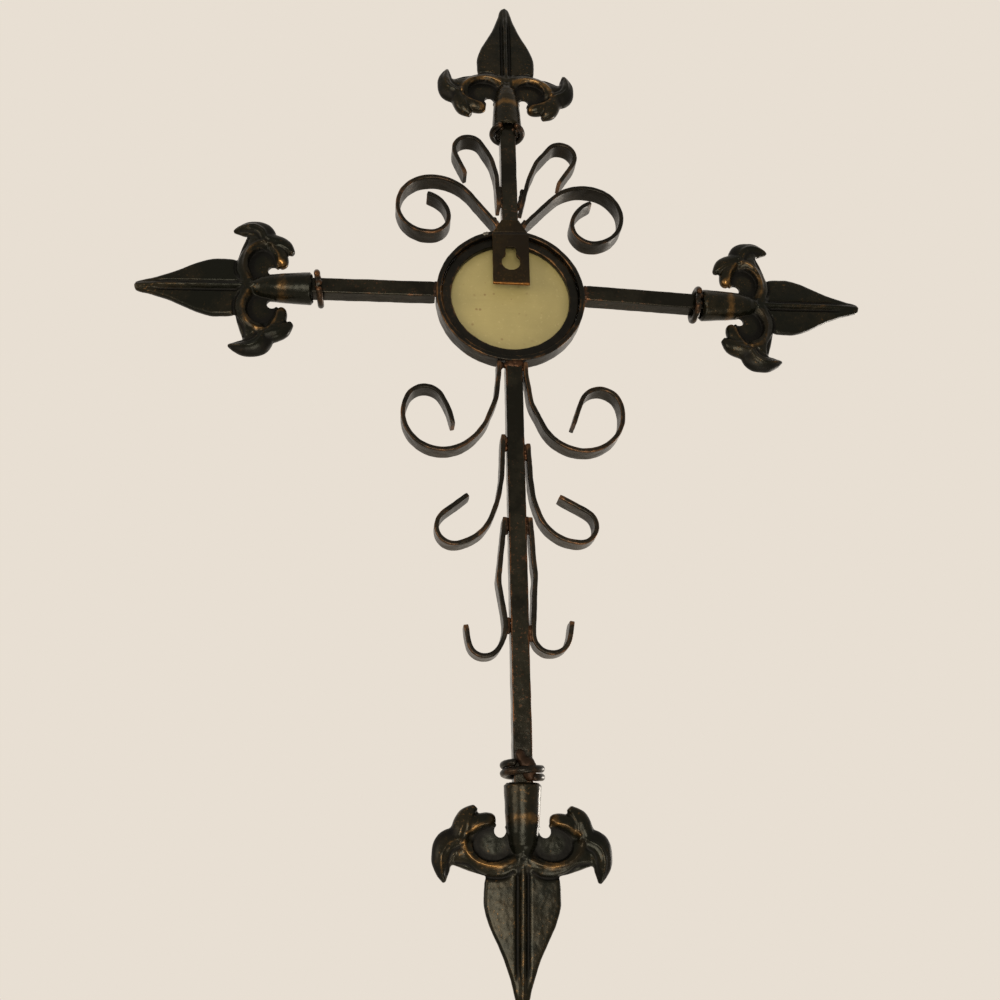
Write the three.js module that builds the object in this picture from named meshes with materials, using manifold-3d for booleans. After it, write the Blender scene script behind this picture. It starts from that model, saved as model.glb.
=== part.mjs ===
// Hanging wrought iron cross with a round mirror at its crossing, four cast spear finials
// and five pairs of forged scrolls. Millimetres, +Z up. The side that faces the wall looks
// along -Y, the room is on +Y, and the origin is the top of the keyhole slot in the hanger
// plate, in the plane of the plate's wall face.
import * as THREE from "three";
import { mergeVertices } from "three/addons/utils/BufferGeometryUtils.js";
import Module from "manifold-3d";

// Fit between neighbours
const gap = 0.3;

// Ring, retaining ring and mirror
const ringDiameter = 75;
const ringWall = 2.8;
const ringDepth = 10;
const retainerWidth = 4.6;
const retainerDepth = 3.5;
const retainerRecess = 2.5;
const mirrorThickness = 2.7;
const ringSides = 32;

// Square bars
const barSide = 8.4;
const upperBarLength = 65.5;
const armLength = 60.2;
const lowerBarLength = 197.3;
const barInSocket = 10;

// Hanger plate and its keyhole
const plateWidth = 18.7;
const plateHeight = 37.6;
const plateThickness = 1.8;
const plateAboveCentre = 4.2;
const plateCorner = { across: 4.8, down: 8 };
const keyholeRadius = 4.6;
const slotWidth = 5.2;
const slotLength = 8.8;
const slotCorner = 0.8;
const keyholeAboveCentre = 17;

// Flat strip of the scrolls
const stripThickness = 2.4;
const stripDepth = 10;
const scrollUnit = 10;
const bendStep = 18;

// Wire collars at the sockets' mouths
const collarWire = 3.2;
const collarDiameter = 19.5;
const collarOpening = 50;
const weldLump = { across: 3.4, deep: 2.2, along: 3 };

// Finials, drawn with the socket's mouth at the origin and the point along +Z
const finialLength = 85;
const socket = { mouthRadius: 8.1, lip: 1.2, boreClearance: 0.7 };
const crown = 31;
const bladeThickness = 4.4;
const bladeEdge = 0.9;
const ribHalf = 1.6;
const ribTop = 0.8;
const ribHeight = 4.1;
const ribFall = 0.012;
const groove = { width: 1.2, depth: 1, end: 73, fieldMargin: 0.1 };
const tipThinning = 0.8;
const eye = { out: 12.4, along: 24.6, halfWidth: 8.8, halfLength: 6.9 };
const webThickness = 2.6;
const webRim = 1;
const notch = { out: 9.4, along: 19.4, radius: 2.2, reach: 11 };

// What the smith's hand left out of true, clockwise as seen from the wall side: how far the
// line of each bar passes from the ring's centre, and in degrees how far the bar leans and how
// far its finial and its collar lean on it
const barShift = { top: 0.6, right: -4.4, bottom: -0.7, left: 1.8 };
const barLean = { top: -0.15, right: 2.3, bottom: 0.1, left: -0.6 };
const finialLean = { top: 0.15, right: -3.2, bottom: 1.4, left: -1.1 };
const collarTilt = { top: 0, right: 5, bottom: 0, left: -8 };

const ringRadius = ringDiameter / 2;
const degrees = Math.PI / 180;
const wasm = await Module();
wasm.setup();

const iron = { color: 0x1d1a14, roughness: 0.55, metalness: 0.75 };
const castIron = { color: 0x25211a, roughness: 0.5, metalness: 0.75 };
const mirrorBack = { color: 0xa8995f, roughness: 0.6, metalness: 0 };

function solidOf(geometry) {
  const bare = geometry.clone();
  bare.deleteAttribute("normal");
  bare.deleteAttribute("uv");
  const merged = mergeVertices(bare, 1e-4);
  return new wasm.Manifold(
    new wasm.Mesh({
      numProp: 3,
      vertProperties: new Float32Array(merged.attributes.position.array),
      triVerts: new Uint32Array(merged.index.array),
    }),
  );
}

function geometryOf(solid) {
  const mesh = solid.getMesh();
  const geometry = new THREE.BufferGeometry();
  geometry.setAttribute("position", new THREE.BufferAttribute(mesh.vertProperties, 3));
  geometry.setIndex(new THREE.BufferAttribute(mesh.triVerts, 1));
  geometry.computeVertexNormals();
  return geometry;
}

// A flat outline in X and Z, given thickness along Y about the plane y = 0.
function slab(outline, thickness, bevel = 0, curveSegments = 8) {
  const geometry = new THREE.ExtrudeGeometry(outline, {
    depth: thickness - 2 * bevel,
    bevelEnabled: bevel > 0,
    bevelThickness: bevel,
    bevelSize: bevel,
    bevelOffset: -bevel,
    bevelSegments: 1,
    curveSegments,
  });
  return geometry.translate(0, 0, bevel - thickness / 2).rotateX(Math.PI / 2);
}

function mirrored(geometry) {
  const copy = geometry.index ? geometry.toNonIndexed() : geometry.clone();
  copy.scale(-1, 1, 1);
  const position = copy.attributes.position;
  for (let i = 0; i < position.count; i += 3) {
    const a = new THREE.Vector3().fromBufferAttribute(position, i);
    const b = new THREE.Vector3().fromBufferAttribute(position, i + 1);
    position.setXYZ(i, b.x, b.y, b.z);
    position.setXYZ(i + 1, a.x, a.y, a.z);
  }
  return copy;
}

// A swelling, tapering limb in the plane y = 0, with a ridge down the middle of each face.
// Each station is [x, z, half width, half depth].
function limb(stations, steps) {
  const sides = 6;
  const spine = new THREE.CatmullRomCurve3(stations.map(([x, z]) => new THREE.Vector3(x, 0, z)));
  const girth = new THREE.CatmullRomCurve3(stations.map(([, , w, d]) => new THREE.Vector3(w, d, 0)));
  const vertices = [];
  const faces = [];
  for (let i = 0; i <= steps; i += 1) {
    const at = spine.getPoint(i / steps);
    const along = spine.getTangent(i / steps);
    const { x: halfWidth, y: halfDepth } = girth.getPoint(i / steps);
    for (let j = 0; j < sides; j += 1) {
      const turn = (2 * Math.PI * (j + 0.5)) / sides;
      const across = (halfWidth * Math.cos(turn)) / Math.cos(Math.PI / sides);
      vertices.push(at.x - along.z * across, halfDepth * Math.sin(turn), at.z + along.x * across);
    }
  }
  const start = vertices.length / 3;
  const ends = [spine.getPoint(0), spine.getPoint(1)];
  ends.forEach((end) => vertices.push(end.x, 0, end.z));
  for (let j = 0; j < sides; j += 1) {
    const next = (j + 1) % sides;
    for (let i = 0; i < steps; i += 1) {
      const low = i * sides;
      const high = low + sides;
      faces.push(low + j, high + j, low + next, low + next, high + j, high + next);
    }
    faces.push(start, j, next, start + 1, steps * sides + next, steps * sides + j);
  }
  const geometry = new THREE.BufferGeometry();
  geometry.setAttribute("position", new THREE.Float32BufferAttribute(vertices, 3));
  geometry.setIndex(faces);
  return geometry;
}

// Finial

// The tables below are drawn for a finial of this length, and scale with the one that is built.
const drawnLength = 85;
const fitted = (rows) => rows.map((row) => row.map((size) => (size * finialLength) / drawnLength));

// Half widths of the blade at heights above the socket's mouth.
const bladeHalfWidths = fitted([
  [34, 13.5],
  [39, 15.6],
  [49, 15.7],
  [56, 13.4],
  [63, 9.9],
  [70, 6.7],
  [77, 4],
  [82, 2.7],
]);

// Radii of the stem at heights above the socket's mouth, up to where it dies into the rib.
const stemRadii = fitted([
  [7.7, 8],
  [6.8, 20],
  [5.7, 25],
  [3.8, 29],
  [2, 35],
]);

// The blade, its rib and the groove on each side of the rib, lofted to the point.
function bladeGeometry() {
  const surface = bladeThickness / 2;
  const vertices = [];
  const faces = [];
  for (const [z, halfWidth] of bladeHalfWidths) {
    const grooved = z < groove.end ? 1 : 0;
    const quarter = [
      [ribTop, ribHeight - ribFall * (z - crown)],
      [ribHalf + (groove.width / 2) * grooved, surface - groove.depth * grooved],
      [ribHalf + groove.width * grooved + groove.fieldMargin, surface],
      [halfWidth - Math.min(bladeEdge, halfWidth / 4), surface * (grooved ? 1 : tipThinning)],
      [halfWidth, surface - bladeEdge],
    ];
    const half = [...quarter, ...quarter.map(([x, y]) => [x, -y]).reverse()];
    const ring = [...half, ...half.map(([x, y]) => [-x, y]).reverse()];
    ring.forEach(([x, y]) => vertices.push(x, y, z));
  }
  const sides = 20;
  const rows = bladeHalfWidths.length;
  const root = vertices.length / 3;
  vertices.push(0, 0, bladeHalfWidths[0][0], 0, 0, finialLength);
  for (let j = 0; j < sides; j += 1) {
    const next = (j + 1) % sides;
    for (let low = 0; low < (rows - 1) * sides; low += sides) {
      const high = low + sides;
      faces.push(low + j, high + j, low + next, low + next, high + j, high + next);
    }
    const top = (rows - 1) * sides;
    faces.push(root, j, next, root + 1, top + next, top + j);
  }
  const geometry = new THREE.BufferGeometry();
  geometry.setAttribute("position", new THREE.Float32BufferAttribute(vertices, 3));
  geometry.setIndex(faces);
  return geometry;
}

function ellipseSlab(out, along, halfWidth, halfLength, thickness, segments) {
  const shape = new THREE.Shape();
  shape.absellipse(out, along, halfWidth, halfLength, 0, 2 * Math.PI);
  return slab(shape, thickness, 0, segments);
}

// One side leaf: the band that leaves the crown, the hook it ends in, and two lobes that curl
// back towards the socket round a sunk eye with a thin web left at its bottom. Each row is
// [x, z, half width, half depth].
const leafLimbs = [
  { steps: 3, rows: [[-2, 31, 4.4, 4.2], [8, 33.4, 4.5, 4.2], [17, 31.6, 4.8, 4.1], [26, 27, 6.6, 4.2]] },
  {
    steps: 5,
    rows: [[23, 25, 6.4, 3.6], [30, 25.4, 6.8, 4.6], [33, 30.6, 4.8, 4.4], [32.8, 35.6, 2.9, 3], [32, 39.6, 0.7, 1]],
  },
  { steps: 3, rows: [[28, 25, 4, 3.8], [26, 19.5, 4.2, 4.6], [23.6, 14, 3.9, 4], [19.6, 9.8, 1.5, 1.8]] },
  { steps: 3, rows: [[24, 19, 4, 3.4], [18.4, 16, 3.6, 3.8], [13.6, 15, 3, 3.2], [11.2, 14.8, 1.4, 1.6]] },
];

function sideLeaf() {
  const limbs = leafLimbs.map(({ rows, steps }) => limb(fitted(rows), steps));
  const web = ellipseSlab(eye.out, eye.along, eye.halfWidth + webRim, eye.halfLength + webRim, webThickness, 4);
  const recessDepth = socket.mouthRadius;
  const recess = ellipseSlab(eye.out, eye.along, eye.halfWidth, eye.halfLength, recessDepth, 6);
  const lift = (recessDepth + webThickness) / 2;
  return [...limbs, web]
    .map(solidOf)
    .reduce((joined, piece) => joined.add(piece))
    .subtract(solidOf(recess.clone().translate(0, lift, 0)))
    .subtract(solidOf(recess.translate(0, -lift, 0)));
}

function socketStem() {
  const { mouthRadius, lip } = socket;
  const top = stemRadii[stemRadii.length - 1][1];
  const profile = [[0, 0], [mouthRadius - lip, 0], [mouthRadius, lip], ...stemRadii, [0, top]];
  return new THREE.LatheGeometry(profile.map(([r, z]) => new THREE.Vector2(r, z)), 11).rotateX(Math.PI / 2);
}

// The gap between the inner lobe and the socket, ending in a small round eye.
function notchCut() {
  const { out, along, radius, reach } = notch;
  const from = -0.3 * Math.PI;
  const neckHalf = radius * Math.cos(from);
  const shape = new THREE.Shape();
  shape.moveTo(out + neckHalf, along - reach);
  shape.absarc(out, along, radius, from, Math.PI - from);
  shape.lineTo(out - neckHalf, along - reach);
  return slab(shape, 4 * socket.mouthRadius, 0, 3);
}

const socketBore = (barSide * Math.SQRT2) / 2 + socket.boreClearance;

function finialGeometry() {
  const leaf = sideLeaf();
  const otherLeaf = solidOf(mirrored(geometryOf(leaf)));
  const notchSolid = solidOf(notchCut());
  const otherNotch = solidOf(mirrored(notchCut()));
  const boreDepth = barInSocket + gap;
  const bore = new THREE.CylinderGeometry(socketBore, socketBore, 2 * boreDepth, 10).rotateX(Math.PI / 2);
  const leaves = leaf.add(otherLeaf).subtract(notchSolid).subtract(otherNotch);
  const stem = solidOf(socketStem()).subtract(solidOf(bore));
  return geometryOf(solidOf(bladeGeometry()).add(leaves).add(stem));
}

// Collar

// How far a coil of more than one turn climbs along the bar, from end to end of its wire.
const coilRise = (turns) => (turns > 1 ? collarWire * turns : 0);

// A ring of wire round the bar, open where its ends meet the weld lump on the wall side.
function collarGeometry(turns) {
  const radius = (collarDiameter - collarWire) / 2;
  const start = (collarOpening / 2) * degrees;
  const sweep = 2 * Math.PI * turns - 2 * start;
  const points = [];
  const stations = 10 * turns;
  for (let i = 0; i <= stations; i += 1) {
    const turn = start + (sweep * i) / stations;
    const rise = coilRise(turns) * (i / stations - 0.5);
    points.push(new THREE.Vector3(radius * Math.sin(turn), -radius * Math.cos(turn), rise));
  }
  const section = new THREE.Shape();
  section.absarc(0, 0, collarWire / 2, 0, 2 * Math.PI);
  const wire = new THREE.ExtrudeGeometry(section, {
    steps: stations,
    curveSegments: 3,
    bevelEnabled: false,
    extrudePath: new THREE.CatmullRomCurve3(points),
  });
  const lump = new THREE.SphereGeometry(1, 6, 4);
  lump.scale(weldLump.across, weldLump.deep, weldLump.along);
  const slip = Math.min(0, (coilRise(turns) + collarWire) / 2 - weldLump.along);
  lump.translate(0, -(barSide / 2 + gap + weldLump.deep), slip);
  return geometryOf(solidOf(wire).add(solidOf(lump)));
}

// Scrolls

// The foot is where the strip leaves the bar or ring, given beside its place against the bar
// and above or below the ring. Each stretch is [length, degrees], a positive turn curling away
// from the upright. Lengths are in scroll units.
const besideBar = barSide / 2 + gap + stripThickness / 2;
const scrolls = {
  upper_inner_left: {
    foot: { beside: -0.04, above: 1.48 },
    heading: 92,
    stretches: [[1.9, -9], [2.25, -30], [2.3, -169], [1.3, 5]],
  },
  upper_inner_right: {
    foot: { beside: 0.06, above: 1.39 },
    heading: 78,
    stretches: [[1.85, -2], [2.5, -31], [2.35, -172], [1.5, 10]],
  },
  upper_outer_left: {
    foot: { beside: -0.04, above: 0.11 },
    heading: 66,
    stretches: [[0.4, -14], [2.15, 1], [2.4, -59], [2.75, -89], [2.5, -90], [1.5, -88], [1.85, -74]],
  },
  upper_outer_right: {
    foot: { beside: 0.08, above: 0.08 },
    heading: 70,
    stretches: [[0.6, -20], [2.1, -4], [2.5, -62], [2.3, -77], [2.25, -77], [2.2, -118], [1.55, -49]],
  },
  lower_top_left: {
    foot: { beside: 0.1, below: 0.03 },
    heading: -90,
    stretches: [[0.45, -1], [3, 30], [1.45, 27], [5, 153], [1.9, 119], [1.6, 23]],
  },
  lower_top_right: {
    foot: { beside: 0.06, below: 0.04 },
    heading: -89,
    stretches: [[0.6, -2], [3.2, 35], [1.9, 49], [4, 117], [2.4, 138], [1.45, 6]],
  },
  lower_mid_left: {
    foot: { beside: -0.04, below: 3.9 },
    heading: -89,
    stretches: [[2.2, 4], [2.2, 21], [1.9, 53], [2.25, 156], [1.4, -6]],
  },
  lower_mid_right: {
    foot: { beside: 0.06, below: 4.36 },
    heading: -86,
    stretches: [[1.85, -3], [1.9, 23], [2.25, 66], [2.05, 145], [1.55, 11]],
  },
  lower_hook_left: {
    foot: { beside: -0.04, below: 8.05 },
    heading: -90,
    stretches: [[1.5, 14], [1.5, -15], [1.55, -15], [1.7, 54], [1.75, 140], [0.7, -14]],
  },
  lower_hook_right: {
    foot: { beside: 0.06, below: 8.04 },
    heading: -96,
    stretches: [[2.2, 18], [1.15, -24], [2.2, 18], [2.3, 161], [0.8, 6]],
  },
};

function scrollGeometry({ foot, heading, stretches }) {
  const near = [];
  const far = [];
  let x = besideBar + foot.beside * scrollUnit;
  let z = foot.above === undefined ? -ringRadius - foot.below * scrollUnit : ringRadius + foot.above * scrollUnit;
  let angle = heading * degrees;
  const mark = () => {
    const across = stripThickness / 2;
    near.push(new THREE.Vector2(x - Math.sin(angle) * across, z + Math.cos(angle) * across));
    far.unshift(new THREE.Vector2(x + Math.sin(angle) * across, z - Math.cos(angle) * across));
  };
  mark();
  for (const [units, turn] of stretches) {
    const length = units * scrollUnit;
    const chords = Math.max(1, Math.ceil(Math.abs(turn) / bendStep));
    const half = (turn * degrees) / chords / 2;
    for (let i = 0; i < chords; i += 1) {
      angle += half;
      x += (length / chords) * Math.cos(angle);
      z += (length / chords) * Math.sin(angle);
      angle += half;
      mark();
    }
  }
  return slab(new THREE.Shape([...near, ...far]), stripDepth);
}

// Ring, mirror and hanger plate

function bandGeometry(outer, inner, from, to, sides = ringSides) {
  const profile = [[inner, from], [outer, from], [outer, to], [inner, to], [inner, from]];
  return new THREE.LatheGeometry(profile.map(([r, y]) => new THREE.Vector2(r, y)), sides);
}

function plateGeometry() {
  const half = plateWidth / 2;
  const top = plateAboveCentre + plateHeight;
  const shape = new THREE.Shape();
  shape.moveTo(-half, plateAboveCentre);
  shape.lineTo(half, plateAboveCentre);
  shape.lineTo(half, top - plateCorner.down);
  shape.lineTo(half - plateCorner.across, top);
  shape.lineTo(plateCorner.across - half, top);
  shape.lineTo(-half, top - plateCorner.down);
  const hole = new THREE.Path();
  const side = Math.asin(slotWidth / 2 / keyholeRadius);
  const slotTop = keyholeAboveCentre + slotLength;
  hole.absarc(0, keyholeAboveCentre, keyholeRadius, Math.PI / 2 + side, 2.5 * Math.PI - side);
  hole.lineTo(slotWidth / 2, slotTop - slotCorner);
  hole.lineTo(slotWidth / 2 - slotCorner, slotTop);
  hole.lineTo(slotCorner - slotWidth / 2, slotTop);
  hole.lineTo(-slotWidth / 2, slotTop - slotCorner);
  shape.holes.push(hole);
  return slab(shape, plateThickness, 0, 12);
}

// Assembly

function piece(name, geometry, finish) {
  const mesh = new THREE.Mesh(geometry, new THREE.MeshStandardMaterial(finish));
  mesh.name = name;
  return mesh;
}

const cross = new THREE.Group();
cross.position.set(0, plateThickness + gap + ringDepth / 2, -(keyholeAboveCentre + slotLength));

const ringInside = ringRadius - ringWall;
const retainerBack = retainerRecess - ringDepth / 2;
const retainerFront = retainerBack + retainerDepth;
const mirrorBackFace = retainerFront + gap;
const insideRing = ringInside - gap;
cross.add(
  piece("ring", bandGeometry(ringRadius, ringInside, -ringDepth / 2, ringDepth / 2), iron),
  piece("retaining_ring", bandGeometry(insideRing, insideRing - retainerWidth, retainerBack, retainerFront), iron),
);

const mirrorDisc = new THREE.CylinderGeometry(insideRing, insideRing, mirrorThickness, ringSides);
const mirror = piece("mirror", mirrorDisc, mirrorBack);
mirror.position.y = mirrorBackFace + mirrorThickness / 2;
cross.add(mirror);

const plate = piece("hanger_plate", plateGeometry(), iron);
plate.position.y = -(ringDepth / 2 + gap + plateThickness / 2);
cross.add(plate);

// Each limb is a bar with a finial on its end, built pointing up and then turned about the
// ring's centre.
const finialShape = finialGeometry();
const limbs = {
  top: { turn: 0, length: upperBarLength, turns: 1 },
  right: { turn: 90, length: armLength, turns: 1 },
  bottom: { turn: 180, length: lowerBarLength, turns: 2 },
  left: { turn: -90, length: armLength, turns: 1 },
};

for (const [side, { turn, length, turns }] of Object.entries(limbs)) {
  const limbGroup = new THREE.Group();
  limbGroup.rotation.y = (turn + barLean[side]) * degrees;
  const foot = ringRadius + gap;
  const mouth = foot + length;
  const barLength = length + barInSocket;
  const bar = piece(`bar_${side}`, new THREE.BoxGeometry(barSide, barSide, barLength), iron);
  bar.position.set(barShift[side], 0, foot + barLength / 2);
  const finial = piece(`finial_${side}`, finialShape.clone(), castIron);
  finial.position.set(barShift[side], 0, mouth);
  finial.rotation.y = finialLean[side] * degrees;
  const collar = piece(`collar_${side}`, collarGeometry(turns), iron);
  const reach = (collarDiameter / 2) * Math.abs(Math.sin(collarTilt[side] * degrees));
  collar.position.set(barShift[side], 0, mouth - gap - reach - (coilRise(turns) + collarWire) / 2);
  collar.rotation.y = collarTilt[side] * degrees;
  limbGroup.add(bar, finial, collar);
  cross.add(limbGroup);
}

for (const [place, scroll] of Object.entries(scrolls)) {
  const shape = scrollGeometry(scroll);
  cross.add(piece(`scroll_${place}`, place.endsWith("left") ? mirrored(shape) : shape, iron));
}

export default cross;
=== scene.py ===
import math

import bmesh
import bpy
import numpy as np
from mathutils import Matrix, Vector


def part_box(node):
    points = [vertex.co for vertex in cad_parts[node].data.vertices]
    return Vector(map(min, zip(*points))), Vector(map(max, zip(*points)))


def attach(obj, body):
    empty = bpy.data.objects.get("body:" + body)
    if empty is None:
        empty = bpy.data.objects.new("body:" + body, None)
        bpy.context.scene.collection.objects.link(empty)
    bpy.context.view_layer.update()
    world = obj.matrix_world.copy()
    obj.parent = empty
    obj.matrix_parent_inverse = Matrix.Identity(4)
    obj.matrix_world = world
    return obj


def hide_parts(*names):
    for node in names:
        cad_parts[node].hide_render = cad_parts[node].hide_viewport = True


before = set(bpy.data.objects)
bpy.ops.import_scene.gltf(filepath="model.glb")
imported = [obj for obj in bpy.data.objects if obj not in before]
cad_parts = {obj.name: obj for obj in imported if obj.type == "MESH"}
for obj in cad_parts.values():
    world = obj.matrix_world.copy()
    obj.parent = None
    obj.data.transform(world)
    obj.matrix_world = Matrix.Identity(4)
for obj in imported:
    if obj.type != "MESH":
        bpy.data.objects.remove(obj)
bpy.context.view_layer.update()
mm = 0.001


# Ring and retaining ring
# The ring is a flat iron strip bent round edge-on and welded shut. A narrower ring is tacked
# inside it, behind the mirror. Both are forged, with eased edges and a hammered skin.


class Channel:
    """One output of a node tree, so that a mask can be written as a sum or a product."""

    def __init__(self, nodes, socket):
        self.nodes = nodes
        self.socket = socket

    def _math(self, operation, *values):
        return self.nodes.add("ShaderNodeMath", {"operation": operation}, dict(enumerate(values)))

    def __add__(self, other):
        return self._math("ADD", self, other)

    def __sub__(self, other):
        return self._math("SUBTRACT", self, other)

    def __rsub__(self, other):
        return self._math("SUBTRACT", other, self)

    def __mul__(self, other):
        return self._math("MULTIPLY", self, other)

    def __truediv__(self, other):
        return self._math("DIVIDE", self, other)

    def __rtruediv__(self, other):
        return self._math("DIVIDE", other, self)

    __radd__ = __add__
    __rmul__ = __mul__

    def least(self, other):
        return self._math("MINIMUM", self, other)

    def held(self):
        """The value, kept between 0 and 1."""
        return self._math("MAXIMUM", self, 0.0).least(1.0)


class Nodes:
    """A node tree, with one method that adds any node and links what is given to it."""

    def __init__(self, tree):
        self.tree = tree
        self.tree.nodes.clear()

    def add(self, kind, settings=None, inputs=None, output=0):
        node = self.tree.nodes.new(kind)
        for name, value in (settings or {}).items():
            setattr(node, name, value)
        for key, value in (inputs or {}).items():
            if isinstance(value, Channel):
                self.tree.links.new(value.socket, node.inputs[key])
            else:
                node.inputs[key].default_value = value
        return Channel(self, node.outputs[output]) if node.outputs else node

    def blend(self, factor, first, second):
        """Two colours mixed."""
        return self.add("ShaderNodeMix", {"data_type": "RGBA"}, {0: factor, 6: first, 7: second}, output=2)


def tone(red, green, blue):
    """A colour as seen on a screen, 0 to 255, turned into the linear one that a shader takes."""
    return tuple(((c / 255 + 0.055) / 1.055) ** 2.4 for c in (red, green, blue)) + (1.0,)


def new_finish(name):
    """A material with an empty tree. Gives it, its nodes and each spot's place on the piece."""
    material = bpy.data.materials.new(name)
    material.use_nodes = True
    nodes = Nodes(material.node_tree)
    return material, nodes, nodes.add("ShaderNodeTexCoord", output=3)


def end_finish(nodes, inputs):
    surface = nodes.add("ShaderNodeBsdfPrincipled", None, inputs)
    nodes.add("ShaderNodeOutputMaterial", None, {"Surface": surface})


def iron_finish(name, body, bloom, rubbed, rub=1.0, shine=0.33, fleck=0.45, seed=0.0, grainy=1.0):
    """Old iron: a dark skin clouded with a second tone, bright where time rubbed it and on painted
    highlights, and near black in its hollows as painted shade. A casting is less grainy than a forging."""
    material, nodes, spot = new_finish(name)
    spot = nodes.add("ShaderNodeMapping", None, {"Vector": spot, "Location": (seed, seed * 0.7, -seed)})

    def grain(size, detail, roughness=0.6):
        inputs = {"Vector": spot, "Scale": 1 / size, "Detail": detail, "Roughness": roughness}
        return nodes.add("ShaderNodeTexNoise", None, inputs)

    cloud = grain(26 * mm, 4.0)
    mottle = grain(5 * mm, 5.0, 0.65)
    speckle = grain(1.3 * mm, 3.0)
    pits = nodes.add("ShaderNodeTexVoronoi", None, {"Vector": spot, "Scale": 1 / (2.6 * mm)})
    stand = nodes.add("ShaderNodeAttribute", {"attribute_name": "stand"}, output=2)
    rubbed_and_glint = nodes.add("ShaderNodeAttribute", {"attribute_name": "rubbed_and_glint"}, output=2)
    painted_shade = nodes.add("ShaderNodeAttribute", {"attribute_name": "painted_shade"}, output=2)
    patchy = ((cloud - 0.42) * 5.0 + (mottle - 0.5) * 2.0).held()
    proud = ((stand - 0.62) * 2.2 * rub).held()
    # Rubbed copper on proud edges and bands; on the finials' crests and lobe tips it is also a painted
    # highlight.
    wear_and_glint = (proud * patchy + rubbed_and_glint * (0.08 + patchy * 0.92) + (mottle - 0.66) * 1.5 * patchy).held()
    # Painted shade: near black in the hollows and under the finials' painted shade mask.
    hollow_shade = ((0.46 - stand) * (2.4 * grainy) + painted_shade).held()
    flecks = ((speckle - 0.6) * 7.0).held() * ((cloud - 0.42) * 3.0).held()
    colour = nodes.blend(((cloud - 0.42) * 3.4 + (mottle - 0.5) * 1.6).held(), body, bloom)
    colour = nodes.blend(((mottle - 0.56) * 5.0).held() * (0.6 * grainy), colour, tone(15, 12, 8))
    colour = nodes.blend(flecks * fleck, colour, rubbed)
    # Rubbed copper, with painted highlights on the finials.
    colour = nodes.blend(wear_and_glint * 0.8, colour, rubbed)
    # The painted shade, near black, in hollows.
    colour = nodes.blend(hollow_shade * 0.9, colour, tone(6, 5, 3))
    pitting = (0.28 - pits).held() * 1.6 * ((mottle - 0.45) * 4.0).held()
    height = mottle * 0.9 + speckle * 0.35 - pitting
    inputs = {"Strength": 0.55, "Distance": 0.28 * mm * grainy, "Height": height}
    bump = nodes.add("ShaderNodeBump", None, inputs)
    uneven = (speckle - 0.5) * 0.2 + (mottle - 0.5) * (0.3 * grainy)
    rough = (shine + uneven - wear_and_glint * 0.06 + hollow_shade * 0.3).held()
    inputs = {"Base Color": colour, "Roughness": rough, "Metallic": 0.65 + wear_and_glint * 0.25, "Normal": bump}
    inputs["Specular IOR Level"] = 0.2
    end_finish(nodes, inputs)
    return material


def node_points(name):
    """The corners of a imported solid, in metres."""
    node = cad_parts[name]
    return np.array([node.matrix_world @ v.co for v in node.data.vertices])


def new_piece(name, points, edges=(), faces=()):
    mesh = bpy.data.meshes.new(name)
    mesh.from_pydata([tuple(p) for p in points], [tuple(e) for e in edges], [tuple(f) for f in faces])
    piece = bpy.data.objects.new(name, mesh)
    bpy.context.scene.collection.objects.link(piece)
    return piece


def settle(piece):
    """Turns what the modifiers make of a piece into its plain mesh, faces out."""
    graph = bpy.context.evaluated_depsgraph_get()
    graph.update()
    made = bpy.data.meshes.new_from_object(piece.evaluated_get(graph), depsgraph=graph)
    piece.modifiers.clear()
    piece.data = made
    loose = bmesh.new()
    loose.from_mesh(made)
    bmesh.ops.recalc_face_normals(loose, faces=loose.faces)
    loose.to_mesh(made)
    loose.free()
    return piece


def mesh_points(mesh):
    spots = np.empty(len(mesh.vertices) * 3)
    mesh.vertices.foreach_get("co", spots)
    return spots.reshape(-1, 3)


def mesh_normals(mesh):
    normals = np.empty(len(mesh.vertices) * 3)
    mesh.vertex_normals.foreach_get("vector", normals)
    return normals.reshape(-1, 3)


def write_mask(piece, label, values):
    """Writes one number on each vertex, for the finish to read."""
    mask = piece.data.attributes.new(label, "FLOAT", "POINT")
    mask.data.foreach_set("value", values.astype(np.float32))


def mark_stand(piece, reach=3):
    """Writes on each vertex how proud of its neighbours it stands: 0.5 is flat, 1 an edge."""
    mesh = piece.data
    spots = mesh_points(mesh)
    normals = mesh_normals(mesh)
    edges = np.empty(len(mesh.edges) * 2, dtype=np.int64)
    mesh.edges.foreach_get("vertices", edges)
    edges = edges.reshape(-1, 2)
    ends = np.concatenate([edges, edges[:, ::-1]])
    degree = np.maximum(np.bincount(ends[:, 0], minlength=len(spots)), 1)

    def around(values):
        return np.bincount(ends[:, 0], weights=values[ends[:, 1]], minlength=len(spots)) / degree

    mean = np.stack([around(spots[:, axis]) for axis in range(3)], axis=1)
    proud = ((spots - mean) * normals).sum(axis=1)
    for _ in range(reach):
        proud = 0.5 * proud + 0.5 * around(proud)
    scale = np.percentile(np.abs(proud), 97) + 1e-9
    write_mask(piece, "stand", np.clip(0.5 + 0.5 * proud / scale, 0, 1))


def shape_tree(name, sizes):
    """A geometry tree with a named input for each size. Gives its nodes, its inputs and the
    identifiers that a modifier sets them by."""
    tree = bpy.data.node_groups.new(name, "GeometryNodeTree")
    nodes = Nodes(tree)
    tree.interface.new_socket("Shape", in_out="OUTPUT", socket_type="NodeSocketGeometry")
    tree.interface.new_socket("Shape", in_out="INPUT", socket_type="NodeSocketGeometry")
    keys = {}
    for label, kind in sizes.items():
        keys[label] = tree.interface.new_socket(label, in_out="INPUT", socket_type=kind).identifier
    entry = tree.nodes.new("NodeGroupInput")
    return nodes, {s.name: Channel(nodes, s) for s in entry.outputs if s.name}, keys


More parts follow.
